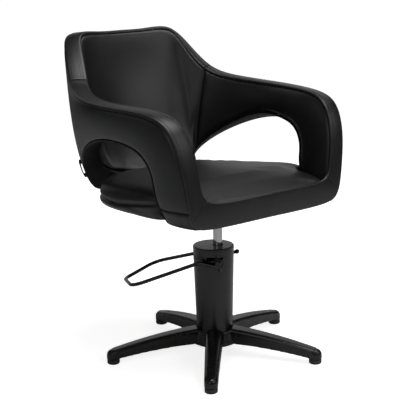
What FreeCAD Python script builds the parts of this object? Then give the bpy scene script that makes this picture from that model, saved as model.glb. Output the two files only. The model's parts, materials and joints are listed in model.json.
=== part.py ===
import FreeCAD, Part
import math
import os
import re

# Hairdressing chair: an upholstered tub shell on a hydraulic column with a five-leg star base.
# Millimetres, +Z up, floor at Z 0. The sitter faces -Y, the sitter's left is +X.
# Pump pieces are drawn in the pump's frame (+X towards the pedal tip, axis at the origin),
# seat pieces in the ram's frame (axis at the origin). Their Placement puts them in the row's frame.

Vec = FreeCAD.Vector
doc = FreeCAD.newDocument("chair")

SIZES = {
    # where the column stands and how its pieces are turned
    "column_y": -100,         # ram axis, from the middle of the footprint
    "ram_offset": 12,         # ram axis to pump axis, away from the pedal
    "pedal_heading": 128,     # degrees from +X
    "leg_heading": 12,        # degrees from +X to the first leg
    # star base and glides
    "leg_count": 5,
    "foot_circle_r": 280,     # pump axis to the middle of a glide
    "leg_root_z": 34,         # underside where the leg leaves the hub
    "leg_tip_z": 13,          # underside over the glide
    "leg_root_h": 42,
    "leg_tip_h": 26,
    "leg_root_w": 46,
    "leg_tip_w": 35,
    "leg_edge_r": 8,
    "knuckle_r": 15,
    "hub_top_r": 52,
    "hub_bottom_r": 60,
    "hub_bottom_z": 30,
    "hub_top_z": 69.5,
    "glide_r": 16.6,
    "glide_h": 12,
    "glide_edge": 2,
    "stem_r": 5,
    "stem_h": 14,
    "stem_fit": 0.05,
    # pump
    "foot_r": 44,
    "foot_h": 8,
    "foot_bolt_r": 4,
    "foot_bolt_circle_r": 34,
    "bolt_head_r": 7.5,
    "bolt_head_h": 5.5,
    "cover_bottom_r": 48.1,
    "cover_top_r": 54.6,
    "cover_h": 222,
    "cover_wall": 2.5,
    "cap_h": 9,
    "cap_edge": 2,
    "slot_w": 42,
    "slot_h": 10,
    "slot_rise": 16,          # slot's middle above the pedal shaft
    "cylinder_r": 17,
    "bore_r": 15,
    "cylinder_room": 6,       # cylinder's top to the cap
    "cylinder_h": "=cover_h - foot_h - cylinder_room",
    "gland_h": 20,
    "wiper_h": 5,
    "wiper_r": 15,
    "running_fit": 0.05,
    # ram and piston
    "ram_r": 12.2,
    "ram_rise": 92,           # pump cap's top to the seat plate
    "piston_h": 22,
    "piston_rise": 52,        # piston's foot above the cylinder's floor
    "piston_pin_r": 6,
    "piston_pin_h": 12,
    "seal_h": 6,
    "seal_depth": 2,
    "washer_h": 2,
    # pedal
    "shaft_r": 5,
    "shaft_offset": 26,       # behind the pump axis
    "shaft_drop": 33.5,       # cover's top to the shaft
    "shaft_z": "=hub_top_z + cover_h - shaft_drop",
    "shaft_in": 18.4,         # inner end, from the pump's middle plane
    "tail_l": 27,             # far lever's tail behind the shaft
    "knob_r": 6.5,
    "hub_out": 66,            # outer face of a pedal hub
    "hub_t": 10,
    "hub_w": 14,
    "hub_h": 26,
    "pedal_bolt_r": 3,
    "pedal_bolt_gap": 11,
    "pedal_head_r": 5,
    "pedal_head_h": 3,
    "wire_r": 4.8,
    "loop_half_w": 117,
    "loop_reach": 249,        # pump axis to the loop's nose
    "loop_nose_l": 56,        # nose to the widest place
    "loop_slope": 18,         # degrees down towards the nose
    "loop_lift": 16,          # over the shaft, at the pump axis
    "loop_bend_r": 38,
    "bracket_y": 26,
    "bracket_t": 5.5,
    "bracket_w": 12,
    "bracket_eye_r": 9,
    "bush_wall": 2,
    "rocker_l": 28,
    "rocker_y": 18.5,
    "rocker_t": 7,
    "rocker_eye_r": 8.5,
    "roller_r": 4,
    "plunger_r": 5,
    "valve_r": 8,
    "valve_room": 32.5,       # valve's top to the shaft
    "valve_h": "=cover_h - shaft_drop - foot_h - valve_room",
    "soft_gap": 0.3,
    # seat plate, board and their fasteners
    "plate_w": 180,
    "plate_t": 6,
    "plate_corner_r": 20,
    "socket_r": 24,
    "socket_h": 34,
    "plate_bolt_pitch": 140,
    "plate_bolt_r": 4,
    "plate_bolt_l": 22,
    "tee_r": 11,
    "tee_h": 2.5,
    "board_w": 300,
    "board_t": 12,
    "board_corner_r": 40,
    # seat pan and cushion
    "pan_h": 67,
    "pan_overhang": 56,
    "pan_gap": 1.2,           # pan's narrow front to the arm's foot
    "slit_y": -84,            # where the pan widens behind the arm's foot
    "pan_half_w": "=front_half_w + pan_overhang",
    "pan_front_y": -200,
    "pan_rear_y": 252,
    "cushion_front_h": 28,
    "cushion_rear_h": 5,
    "cushion_gap": 6,
    "cushion_half_w": "=front_half_w - cushion_gap",
    "cushion_wing_w": "=pan_half_w - cushion_gap",
    # tub wall: inner rim and lower edge, heights above the pan's top
    "shell_t": 46,
    "band_t": 6,
    "lining_t": 5,
    "pad_crown": 9,
    "core_t": 8,
    "arm_rise": 231,
    "arm_half_w": 272,
    "arm_mid_y": 95,
    "arm_fore_y": -40,
    "waist_rise": 257,
    "waist_half_w": 198,
    "waist_y": 288,
    "back_rise": 380,
    "top_half_w": 152,
    "top_y": 402,
    "knee_y": -158,
    "knee_half_w": 238,
    "front_half_w": 212,
    "front_y": -200,
    "foot_depth": 48,         # arm's foot below the pan's top
    "foot_rear_y": -91,
    "window_rise": 157,
    "window_mid_y": 120,
    "window_fore_y": 20,
    "window_front_y": -76,
    "tip_half_w": 168,
    "tip_y": 308,
    "tip_rise": 29,
    "seam_half_w": 130,
    "seam_y": 252,
    "seam_rise": 4,
    # front band and strap loop
    "front_band_t": 14,
    "front_band_bow": 12,
    "front_band_drop": 51,
    "front_band_rise": 12,
    "strap_w": 16,
    "strap_t": 2.5,
    "strap_proud": 11,
    "strap_along": 1.6,       # rim stations from the waist seam
    "strap_high": 0.8,        # feet, as shares of the way down the cover
    "strap_low": 0.92,
}

sheet = doc.addObject("Spreadsheet::Sheet", "sizes")
for row, name in enumerate(SIZES, start=1):
    sheet.set("A%d" % row, name)
    sheet.setAlias("B%d" % row, name)
for row, value in enumerate(SIZES.values(), start=1):
    sheet.set("B%d" % row, str(value))
doc.recompute()


class Sizes:
    """Reads a size from the sheet by its name."""

    def __getattr__(self, name):
        return float(sheet.get(name))


s = Sizes()
nodes = []


def bind(obj, prop, text):
    """Bind a property to an expression written with size names."""
    full = re.sub(r"[a-z]\w*", lambda m: "sizes." + m.group() if m.group() in SIZES else m.group(), text)
    obj.setExpression(prop, full)


def place(obj, at):
    for axis, text in zip("xyz", at):
        bind(obj, ".Placement.Base." + axis, text)
    return obj


def cylinder(radius, height, at=("0", "0", "0"), along="z"):
    obj = doc.addObject("Part::Cylinder", "Cylinder")
    if along == "y":
        obj.Placement.Rotation = FreeCAD.Rotation(Vec(1, 0, 0), -90)
    bind(obj, "Radius", radius)
    bind(obj, "Height", height)
    return place(obj, at)


def cone(radius1, radius2, height, at=("0", "0", "0")):
    obj = doc.addObject("Part::Cone", "Cone")
    bind(obj, "Radius1", radius1)
    bind(obj, "Radius2", radius2)
    bind(obj, "Height", height)
    return place(obj, at)


def box(length, width, height, at):
    obj = doc.addObject("Part::Box", "Box")
    bind(obj, "Length", length)
    bind(obj, "Width", width)
    bind(obj, "Height", height)
    return place(obj, at)


def hexagon(circumradius, height, at, along="z"):
    obj = doc.addObject("Part::Prism", "Prism")
    obj.Polygon = 6
    if along == "y":
        obj.Placement.Rotation = FreeCAD.Rotation(Vec(1, 0, 0), -90)
    bind(obj, "Circumradius", circumradius)
    bind(obj, "Height", height)
    return place(obj, at)


def fuse(*parts):
    obj = doc.addObject("Part::MultiFuse", "Fuse")
    obj.Shapes = list(parts)
    return obj


def group(*parts):
    obj = doc.addObject("Part::Compound", "Group")
    obj.Links = list(parts)
    return obj


def cut(base, *tools):
    obj = doc.addObject("Part::Cut", "Cut")
    obj.Base = base
    obj.Tool = tools[0] if len(tools) == 1 else fuse(*tools)
    return obj


def solid_object(shape):
    obj = doc.addObject("Part::Feature", "Form")
    obj.Shape = shape
    return obj


def node(obj, name, frame):
    obj.Label = name
    obj.Placement = frame.multiply(obj.Placement)
    nodes.append(obj)
    return obj


# frames of the three groups
heading = math.radians(s.pedal_heading)
ram_place = Vec(0, s.column_y, 0)
pump_place = ram_place + Vec(math.cos(heading), math.sin(heading), 0) * s.ram_offset
up = Vec(0, 0, 1)
SEAT = FreeCAD.Placement(ram_place, FreeCAD.Rotation())
PUMP = FreeCAD.Placement(pump_place, FreeCAD.Rotation(up, s.pedal_heading))
STAR = FreeCAD.Placement(pump_place, FreeCAD.Rotation(up, s.leg_heading))
leg_step = 360 / s.leg_count


# star base
def leg_section(share):
    """Closed section of an arched leg at a share of its length: rounded top edges, flat underside."""
    start = s.hub_top_r - s.leg_edge_r
    x = start + share * (s.foot_circle_r - start)
    half = (s.leg_root_w + share * (s.leg_tip_w - s.leg_root_w)) / 2
    low = s.leg_tip_z + (s.leg_root_z - s.leg_tip_z) * (1 - share ** 2)
    top = low + s.leg_root_h + share * (s.leg_tip_h - s.leg_root_h)
    r = s.leg_edge_r
    k = r * (1 - math.sqrt(0.5))
    corners = [Vec(x, -half, low), Vec(x, half, low), Vec(x, half, top - r), Vec(x, half - r, top),
               Vec(x, -half + r, top), Vec(x, -half, top - r)]
    edges = [Part.LineSegment(corners[0], corners[1]).toShape(),
             Part.LineSegment(corners[1], corners[2]).toShape(),
             Part.Arc(corners[2], Vec(x, half - k, top - k), corners[3]).toShape(),
             Part.LineSegment(corners[3], corners[4]).toShape(),
             Part.Arc(corners[4], Vec(x, -half + k, top - k), corners[5]).toShape(),
             Part.LineSegment(corners[5], corners[0]).toShape()]
    return Part.Wire(edges)


def star_leg():
    """One leg with the knuckle over its glide, along +X."""
    arm = Part.makeLoft([leg_section(share) for share in (0, 0.35, 0.7, 1)], True)
    top = s.leg_tip_z + s.leg_tip_h
    knuckle = Part.makeCylinder(s.leg_tip_w / 2, top - s.glide_h, Vec(s.foot_circle_r, 0, s.glide_h))
    rim_edges = [e for e in knuckle.Edges if e.Length > s.leg_tip_w and e.CenterOfMass.z > top - 1]
    knuckle = knuckle.makeFillet(min(s.knuckle_r, 0.45 * s.leg_tip_w), rim_edges)
    return arm.fuse(knuckle)


def around(shape, count):
    return [shape.rotated(Vec(), up, 360 / count * i) for i in range(int(count))]


hub_h = s.hub_top_z - s.hub_bottom_z
star = Part.makeCone(s.hub_bottom_r, s.hub_top_r, hub_h, Vec(0, 0, s.hub_bottom_z))
star = star.fuse(around(star_leg(), s.leg_count)).removeSplitter()
stem_bore = Part.makeCylinder(s.stem_r + s.stem_fit, s.stem_h + 1, Vec(s.foot_circle_r, 0, s.glide_h))
bolt_bore = Part.makeCylinder(s.foot_bolt_r + s.soft_gap, hub_h, Vec(s.foot_bolt_circle_r, 0, s.hub_bottom_z))
pump_room = Part.makeCylinder(s.cover_bottom_r + 1, s.leg_root_h, Vec(0, 0, s.hub_top_z))
star = star.cut(around(stem_bore, s.leg_count) + around(bolt_bore, 4) + [pump_room])
node(solid_object(star), "star_base", STAR)

# glides: a pad under each leg with a stem pressed into its boss
glides = []
for i in range(int(s.leg_count)):
    pad = cylinder("glide_r - glide_edge", "glide_edge", ("foot_circle_r", "0", "0"))
    lip = cylinder("glide_r", "glide_h - glide_edge", ("foot_circle_r", "0", "glide_edge"))
    stem = cylinder("stem_r", "stem_h", ("foot_circle_r", "0", "glide_h"))
    glide = fuse(pad, lip, stem)
    glide.Placement = FreeCAD.Placement(Vec(), FreeCAD.Rotation(up, leg_step * i))
    glides.append(glide)
node(group(*glides), "glides", STAR)

# pump foot, held by bolts through the hub
foot_holes = []
foot_bolts = []
for i in range(4):
    turn = FreeCAD.Placement(Vec(), FreeCAD.Rotation(up, 90 * i + s.leg_heading - s.pedal_heading))
    hole = group(cylinder("foot_bolt_r", "foot_h", ("foot_bolt_circle_r", "0", "hub_top_z")))
    head = hexagon("bolt_head_r", "bolt_head_h",
                   ("foot_bolt_circle_r", "0", "hub_bottom_z - bolt_head_h"))
    shank = cylinder("foot_bolt_r", "hub_top_z + foot_h - hub_bottom_z",
                     ("foot_bolt_circle_r", "0", "hub_bottom_z"))
    bolt = fuse(head, shank)
    for piece in (hole, bolt):
        piece.Placement = turn.multiply(piece.Placement)
    foot_holes.append(hole)
    foot_bolts.append(bolt)
node(group(*foot_bolts), "foot_bolts", PUMP)
foot_top = "hub_top_z + foot_h"
node(cut(cylinder("foot_r", "foot_h", ("0", "0", "hub_top_z")), *foot_holes), "pump_foot", PUMP)

# hydraulic cylinder round the ram axis, with a closed floor as thick as its wall
tube = cylinder("cylinder_r", "cylinder_h", ("-ram_offset", "0", foot_top))
floor_t = "(cylinder_r - bore_r)"
bore = cylinder("bore_r", "cylinder_h", ("-ram_offset", "0", foot_top + " + " + floor_t))
node(cut(tube, bore), "cylinder", PUMP)

# cover with shaft holes, a slot over each hub, and the cap with its ram hole
outer = cone("cover_bottom_r", "cover_top_r", "cover_h", ("0", "0", "hub_top_z"))
inner = cone("cover_bottom_r - cover_wall", "cover_top_r - cover_wall", "cover_h", ("0", "0", "hub_top_z"))
shaft_hole = cylinder("shaft_r + cover_wall", "4 * cover_top_r",
                      ("-shaft_offset", "-2 * cover_top_r", "shaft_z"), "y")
slot = box("slot_w", "4 * cover_top_r", "slot_h",
           ("-shaft_offset / 2 - slot_w / 2", "-2 * cover_top_r", "shaft_z + slot_rise - slot_h / 2"))
node(cut(outer, inner, shaft_hole, slot), "pump_cover", PUMP)
cap_z = "hub_top_z + cover_h"
cap_low = cylinder("cover_top_r", "cap_h - cap_edge", ("0", "0", cap_z))
cap_high = cone("cover_top_r", "cover_top_r - cap_edge", "cap_edge", ("0", "0", cap_z + " + cap_h - cap_edge"))
ram_hole = cylinder("ram_r + running_fit", "cap_h", ("-ram_offset", "0", cap_z))
wiper_seat = cylinder("wiper_r", "wiper_h", ("-ram_offset", "0", cap_z + " + cap_h - wiper_h"))
node(cut(fuse(cap_low, cap_high), ram_hole, wiper_seat), "pump_cap", PUMP)
wiper = cylinder("wiper_r", "wiper_h", ("-ram_offset", "0", cap_z + " + cap_h - wiper_h"))
wiper_hole = cylinder("ram_r + running_fit", "wiper_h", ("-ram_offset", "0", cap_z + " + cap_h - wiper_h"))
node(cut(wiper, wiper_hole), "ram_wiper", PUMP)
gland_z = foot_top + " + " + floor_t + " + cylinder_h - gland_h - " + floor_t
gland = cylinder("bore_r", "gland_h", ("-ram_offset", "0", gland_z))
gland_hole = cylinder("ram_r + running_fit", "gland_h", ("-ram_offset", "0", gland_z))
node(cut(gland, gland_hole), "gland", PUMP)

# piston with a seal in its groove and a pin on which the ram turns
piston_z = foot_top + " + " + floor_t + " + piston_rise"
seal_z = piston_z + " + piston_h / 2 - seal_h / 2"
body = cylinder("bore_r - running_fit", "piston_h", ("-ram_offset", "0", piston_z))
pin = cylinder("piston_pin_r", "piston_pin_h + washer_h", ("-ram_offset", "0", piston_z + " + piston_h"))
groove_out = cylinder("bore_r + 1", "seal_h", ("-ram_offset", "0", seal_z))
groove_in = cylinder("bore_r - seal_depth", "seal_h", ("-ram_offset", "0", seal_z))
node(cut(fuse(body, pin), cut(groove_out, groove_in)), "piston", PUMP)
seal = cylinder("bore_r - running_fit", "seal_h", ("-ram_offset", "0", seal_z))
seal_hole = cylinder("bore_r - seal_depth", "seal_h", ("-ram_offset", "0", seal_z))
node(cut(seal, seal_hole), "piston_seal", PUMP)
washer_z = piston_z + " + piston_h"
washer = cylinder("ram_r", "washer_h", ("-ram_offset", "0", washer_z))
washer_hole = cylinder("piston_pin_r", "washer_h", ("-ram_offset", "0", washer_z))
node(cut(washer, washer_hole), "thrust_washer", PUMP)

# ram from the thrust washer up into the seat plate
ram_z = washer_z + " + washer_h"
plate_z = cap_z + " + cap_h + ram_rise"
rod = cylinder("ram_r", plate_z + " + plate_t - (" + ram_z + ")", ("0", "0", ram_z))
rod_hole = cylinder("piston_pin_r + running_fit", "piston_pin_h + 1", ("0", "0", ram_z))
node(cut(rod, rod_hole), "ram", SEAT)

# shaft bracket and bushes: one upright with an eye each side, standing on the foot
bracket_parts = []
bush_parts = []
for side in ("-bracket_y - bracket_t", "bracket_y"):
    at = ("-shaft_offset - bracket_w / 2", side, foot_top)
    upright = box("bracket_w", "bracket_t", "shaft_z - (" + foot_top + ")", at)
    at = ("-shaft_offset", side, "shaft_z")
    upright = fuse(upright, cylinder("bracket_eye_r", "bracket_t", at, "y"))
    bracket_parts.append(cut(upright, cylinder("shaft_r + bush_wall", "bracket_t", at, "y")))
    bush = cylinder("shaft_r + bush_wall", "bracket_t", at, "y")
    bush_parts.append(cut(bush, cylinder("shaft_r + running_fit", "bracket_t", at, "y")))
node(group(*bracket_parts), "shaft_brackets", PUMP)
node(group(*bush_parts), "shaft_bushes", PUMP)

# pedal shafts: one each side of the cylinder
near_shaft = cylinder("shaft_r", "hub_out - shaft_in", ("-shaft_offset", "shaft_in", "shaft_z"), "y")
far_shaft = cylinder("shaft_r", "hub_out - shaft_in", ("-shaft_offset", "-hub_out", "shaft_z"), "y")
node(group(near_shaft, far_shaft), "pedal_shafts", PUMP)

# pedal hubs with two bolts each; the far one has a short tail with a knob
wire_y = s.hub_out - s.hub_t / 2
slope = math.radians(s.loop_slope)
tail_start = Vec(-s.shaft_offset, -wire_y, s.shaft_z)
tail_way = Vec(-math.cos(slope), 0, math.sin(slope))
tail = Part.makeCylinder(s.hub_t / 2 - s.soft_gap, s.tail_l, tail_start, tail_way)
tail = tail.fuse(Part.makeSphere(s.knob_r, tail_start + tail_way * s.tail_l))
hub_parts = []
hub_bolts = []
for sign in (-1, 1):
    inside = "-hub_out" if sign < 0 else "hub_out - hub_t"
    outside = "-hub_out - pedal_head_h" if sign < 0 else "hub_out"
    block = box("hub_w", "hub_t", "hub_h", ("-shaft_offset - hub_w / 2", inside, "shaft_z - hub_h / 2"))
    if sign < 0:
        block = fuse(block, solid_object(tail))
    holes = [cylinder("shaft_r", "hub_t", ("-shaft_offset", inside, "shaft_z"), "y")]
    for rise in ("pedal_bolt_gap", "-pedal_bolt_gap"):
        at_hole = ("-shaft_offset", inside, "shaft_z + " + rise)
        holes.append(cylinder("pedal_bolt_r", "hub_t", at_hole, "y"))
        shank = cylinder("pedal_bolt_r", "hub_t", at_hole, "y")
        head = hexagon("pedal_head_r", "pedal_head_h", ("-shaft_offset", outside, "shaft_z + " + rise), "y")
        hub_bolts.append(fuse(shank, head))
    hub_parts.append(cut(block, *holes))
node(group(*hub_parts), "pedal_hubs", PUMP)
node(group(*hub_bolts), "pedal_bolts", PUMP)


# pedal loop: one bent wire from hub to hub
def bent_wire(points, bend_r):
    """Straight runs between the points, joined by tangent arcs of radius bend_r."""
    edges = []
    start = points[0]
    for a, b, c in zip(points, points[1:], points[2:]):
        u = (a - b).normalize()
        w = (c - b).normalize()
        half = u.getAngle(w) / 2
        reach = bend_r / math.tan(half)
        first = b + u * reach
        last = b + w * reach
        middle = b + (u + w).normalize() * (bend_r / math.sin(half) - bend_r)
        edges.append(Part.LineSegment(start, first).toShape())
        edges.append(Part.Arc(first, middle, last).toShape())
        start = last
    edges.append(Part.LineSegment(start, points[-1]).toShape())
    return Part.Wire(edges)


def loop_point(x, y):
    return Vec(x, y, s.shaft_z + s.loop_lift - x * math.tan(slope))


half_route = [Vec(-s.shaft_offset + s.hub_w / 2, wire_y, s.shaft_z),
              Vec(-s.shaft_offset + s.hub_w, wire_y, s.shaft_z),
              loop_point(s.shaft_offset, wire_y),
              loop_point(s.loop_reach - s.loop_nose_l, s.loop_half_w)]
nose = loop_point(s.loop_reach, 0)
route = half_route + [nose] + [Vec(p.x, -p.y, p.z) for p in reversed(half_route)]
path = bent_wire(route, s.loop_bend_r)
ring = Part.Wire(Part.makeCircle(s.wire_r, route[0], route[1] - route[0]))
node(solid_object(path.makePipeShell([ring], True, False)), "pedal_loop", PUMP)

# rocker on the near shaft, its rounded end over the plunger
eye = cylinder("rocker_eye_r", "rocker_t", ("-shaft_offset", "-rocker_y - rocker_t", "shaft_z"), "y")
lever = box("rocker_l", "rocker_t", "2 * roller_r",
            ("-shaft_offset", "-rocker_y - rocker_t", "shaft_z - roller_r"))
roller = cylinder("roller_r", "rocker_t", ("rocker_l - shaft_offset", "-rocker_y - rocker_t", "shaft_z"), "y")
rocker_hole = cylinder("shaft_r", "rocker_t", ("-shaft_offset", "-rocker_y - rocker_t", "shaft_z"), "y")
node(cut(fuse(eye, lever, roller), rocker_hole), "rocker", PUMP)

# valve block and plunger
plunger_at = ("rocker_l - shaft_offset", "-rocker_y - rocker_t / 2")
plunger_low = "hub_top_z + foot_h + valve_h / 2"
valve = cylinder("valve_r", "valve_h", plunger_at + (foot_top,))
valve_bore = cylinder("plunger_r + running_fit", "valve_h", plunger_at + (foot_top + " + valve_h / 4",))
node(cut(valve, valve_bore), "valve_block", PUMP)
plunger_h = "shaft_z - roller_r - soft_gap - (" + plunger_low + ")"
node(group(cylinder("plunger_r", plunger_h, plunger_at + (plunger_low,))), "plunger", PUMP)


# seat plate, board and fasteners
def rounded_plate(width, thickness, corner, z):
    half = width / 2
    plate = Part.makeBox(width, width, thickness, Vec(-half, -half, z))
    uprights = [e for e in plate.Edges if abs(e.tangentAt(e.FirstParameter).z) > 0.9]
    return plate.makeFillet(corner, uprights)


def at_plate_bolts(shape):
    half = s.plate_bolt_pitch / 2
    return [shape.translated(Vec(x, y, 0)) for x in (-half, half) for y in (-half, half)]


plate_low = s.hub_top_z + s.cover_h + s.cap_h + s.ram_rise
pan_low = plate_low + s.plate_t
pan_top = pan_low + s.pan_h
plate = rounded_plate(s.plate_w, s.plate_t, s.plate_corner_r, plate_low)
socket = Part.makeCylinder(s.socket_r, s.socket_h, Vec(0, 0, plate_low - s.socket_h))
plate_hole = Part.makeCylinder(s.plate_bolt_r, s.plate_t, Vec(0, 0, plate_low))
ram_bore = Part.makeCylinder(s.ram_r, s.socket_h + s.plate_t, Vec(0, 0, plate_low - s.socket_h))
plate = plate.fuse(socket).cut(at_plate_bolts(plate_hole) + [ram_bore])
node(solid_object(plate), "seat_plate", SEAT)
bolt_head = Part.makeCylinder(s.bolt_head_r, s.bolt_head_h, Vec(0, 0, plate_low - s.bolt_head_h))
bolt = bolt_head.fuse(Part.makeCylinder(s.plate_bolt_r, s.plate_bolt_l, Vec(0, 0, plate_low)))
node(solid_object(Part.makeCompound(at_plate_bolts(bolt))), "plate_bolts", SEAT)
board_hole = Part.makeCylinder(s.plate_bolt_r, s.board_t, Vec(0, 0, pan_low))
board = rounded_plate(s.board_w, s.board_t, s.board_corner_r, pan_low).cut(at_plate_bolts(board_hole))
node(solid_object(board), "seat_board", SEAT)
tee = Part.makeCylinder(s.tee_r, s.tee_h, Vec(0, 0, pan_low + s.board_t))
tee = tee.cut(Part.makeCylinder(s.plate_bolt_r, s.tee_h, Vec(0, 0, pan_low + s.board_t)))
node(solid_object(Part.makeCompound(at_plate_bolts(tee))), "tee_nuts", SEAT)


# seat pan and cushion: one smooth skin over a stack of closed outlines, flat below and above
def closed_outline(half_points, z):
    """Poles of a closed outline from those of its left half, front to rear."""
    left = [Vec(x, y, z) for x, y in half_points]
    right = [Vec(-p.x, p.y, z) for p in reversed(left[1:-1])]
    return left + right


def stacked_body(outlines):
    """Solid with a cubic skin round and over the outlines' poles."""
    around_count = len(outlines[0])
    up_count = len(outlines)
    net = [[outline[i] for outline in outlines] for i in range(around_count)]
    skin = Part.BSplineSurface()
    skin.buildFromPolesMultsKnots(net, [1] * (around_count + 1), [4] + [1] * (up_count - 4) + [4],
                                  list(range(around_count + 1)), list(range(up_count - 2)),
                                  True, False, 3, 3)
    faces = [skin.toShape()]
    for end in (0, up_count - 3):
        faces.append(Part.Face(Part.Wire(skin.vIso(end).toShape())))
    shell = Part.makeShell(faces)
    shell.sewShape()
    body = Part.makeSolid(shell)
    if body.Volume < 0:
        body.reverse()
    return body


def pan_outline(inset, rear, z):
    """Outline of the pan: narrow between the arms' feet, wide behind them."""
    n = s.front_half_w - s.pan_gap - inset
    w = s.pan_half_w - inset
    front = s.pan_front_y + 0.9 * inset
    l = s.pan_rear_y - s.pan_front_y
    return closed_outline([(0, front), (0.42 * n, front + 0.005 * l), (0.9 * n, front + 0.013 * l),
                           (n, front + 0.08 * l), (n, s.slit_y - 0.04 * l), (n, s.slit_y + 0.03 * l),
                           (1.02 * w, s.slit_y - 0.02 * l), (w, s.slit_y + 0.11 * l),
                           (0.97 * w, front + 0.55 * l), (0.9 * w, rear - 0.29 * l),
                           (0.67 * w, rear - 0.09 * l), (0.4 * w, rear - 0.005 * l), (0, rear)], z)


# levels from the underside up, in shares of the pan's height: inset of the outline, height, and reach
# behind the seat seam
pan_levels = [(0.98, 0, 0.15), (0.45, 0, 0.75), (0.09, 0.3, 1.2), (0.01, 0.62, 0.98), (0.01, 0.86, 0.36),
              (0.09, 1, 0.06)]
pan_outlines = []
for inset, share, behind in pan_levels:
    z = pan_low + share * (s.pan_h - s.soft_gap)
    pan_outlines.append(pan_outline(inset * s.pan_h, s.pan_rear_y + behind * s.pan_h, z))
pan = stacked_body(pan_outlines)
pocket = rounded_plate(s.board_w + 2 * s.soft_gap, s.board_t + s.soft_gap, s.board_corner_r, pan_low)
tee_room = Part.makeCylinder(s.tee_r + 1, s.plate_bolt_l, Vec(0, 0, pan_low))
pan = pan.cut([pocket] + at_plate_bolts(tee_room))
node(solid_object(pan), "seat_pan", SEAT)


def cushion_outline(inset, share):
    """Outline at a share of the cushion's height, which falls evenly from front to rear."""
    n = s.cushion_half_w - inset
    w = s.cushion_wing_w - inset
    front = s.pan_front_y + s.cushion_gap + inset
    rear = s.pan_rear_y - s.cushion_gap - inset
    l = rear - front
    flat = closed_outline([(0, front), (0.42 * n, front + 0.005 * l), (0.9 * n, front + 0.013 * l),
                           (n, front + 0.08 * l), (n, front + 0.21 * l), (n, front + 0.28 * l),
                           (1.02 * w, front + 0.23 * l), (w, front + 0.36 * l), (0.97 * w, front + 0.55 * l),
                           (0.93 * w, front + 0.7 * l), (0.8 * w, front + 0.88 * l),
                           (0.5 * w, front + 0.98 * l), (0, rear)], pan_top)
    fall = (s.cushion_front_h - s.cushion_rear_h) / (s.pan_rear_y - s.pan_front_y)
    return [p + up * share * (s.cushion_front_h - fall * (p.y - s.pan_front_y)) for p in flat]


# levels from the pan up: inset of the outline as a share of its half width, share of the height
cushion_levels = [(0.02, 0), (0, 0.2), (0, 0.6), (0.04, 0.95), (0.14, 1), (0.4, 1)]
cushion_outlines = [cushion_outline(inset * s.cushion_half_w, share) for inset, share in cushion_levels]
node(solid_object(stacked_body(cushion_outlines)), "seat_cushion", SEAT)


# Tub wall. Poles run from the middle of the back's top, over the corner, waist, arm and knee, down to
# the arm's foot beside the pan. Every station has a pole on the inner rim, its outward heading and a pole
# on the inner and outer lower edge: the seat seam behind, the window's outline and the foot's rear.
def wall_point(x, y, rise):
    return Vec(x, y, pan_top + rise)


rim = [wall_point(0, s.top_y, s.back_rise),
       wall_point(0.5 * s.top_half_w, 0.99 * s.top_y, 0.995 * s.back_rise),
       wall_point(1.05 * s.top_half_w, 0.96 * s.top_y, 1.02 * s.back_rise),
       wall_point(0.495 * (s.top_half_w + s.waist_half_w), 0.5 * (s.top_y + s.waist_y),
                  0.523 * (s.back_rise + s.waist_rise)),
       wall_point(s.waist_half_w, s.waist_y, s.waist_rise),
       wall_point(0.506 * (s.waist_half_w + s.arm_half_w), 0.736 * s.waist_y, 1.035 * s.arm_rise),
       wall_point(s.arm_half_w, s.arm_mid_y, s.arm_rise),
       wall_point(0.934 * s.arm_half_w, s.arm_fore_y, s.arm_rise),
       wall_point(s.knee_half_w, s.knee_y, 0.957 * s.arm_rise),
       wall_point(1.07 * s.front_half_w, 0.97 * s.front_y, 0.58 * s.arm_rise),
       wall_point(1.02 * s.front_half_w, s.front_y, 0.24 * s.arm_rise),
       wall_point(s.front_half_w, s.front_y, -0.1 * s.foot_depth),
       wall_point(s.front_half_w, 0.99 * s.front_y, -s.foot_depth)]
outward = [90, 85, 65, 40, 26, 19, 2, -6, 0, 0, -4, -4, -4]
outer_run = [1, 1, 1.02, 1.1, 1.05, 1.06, 1.1, 1.06, 1, 1, 0.95, 0.85, 0.35]
outer_drop = [0.22, 0.17, 0.04, -0.07, 0, 0, 0.04, 0.09, 0.13, 0.09, 0.07, 0, 0]
inner_low = [wall_point(0, s.seam_y, s.seam_rise),
             wall_point(0.58 * s.seam_half_w, 0.99 * s.seam_y, s.seam_rise),
             wall_point(s.seam_half_w, 0.98 * s.seam_y, 1.25 * s.seam_rise),
             wall_point(0.94 * s.tip_half_w, 0.468 * (s.seam_y + s.tip_y), 0.45 * s.tip_rise),
             wall_point(s.tip_half_w, s.tip_y, s.tip_rise),
             wall_point(0.757 * s.arm_half_w, 0.773 * s.tip_y, 0.51 * (s.tip_rise + s.window_rise)),
             wall_point(0.904 * s.arm_half_w, s.window_mid_y, s.window_rise),
             wall_point(0.897 * s.arm_half_w, s.window_fore_y, 0.955 * s.window_rise),
             wall_point(0.996 * s.knee_half_w, 0.66 * s.window_front_y, 0.834 * s.window_rise),
             wall_point(1.08 * s.front_half_w, s.window_front_y, 0.5 * s.window_rise),
             wall_point(1.061 * s.front_half_w, 0.9 * s.window_front_y, 0.25 * s.window_rise),
             wall_point(1.047 * s.front_half_w, 0.97 * s.foot_rear_y, -0.1 * s.foot_depth),
             wall_point(1.02 * s.front_half_w, s.foot_rear_y, -s.foot_depth)]
foot_run = [1.87, 1.85, 1.76, 1.48, 1, 1, 1, 1, 1, 1, 1, 0.95, 0.45]
foot_drop = [0.85, 0.83, 0.78, 0.61, 0.09, 0.02, 0.02, 0.13, 0.17, 0.11, 0.04, 0, 0]
foot_heading = [90, 88, 85, 80, 54, 22, 2, -6, -8, -12, -14, -5, 0]


def outward_step(point, degrees, run, drop):
    """A point out from another; run and drop are shares of the wall's thickness."""
    a = math.radians(degrees)
    return point + Vec(run * math.cos(a), run * math.sin(a), -drop) * s.shell_t


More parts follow.
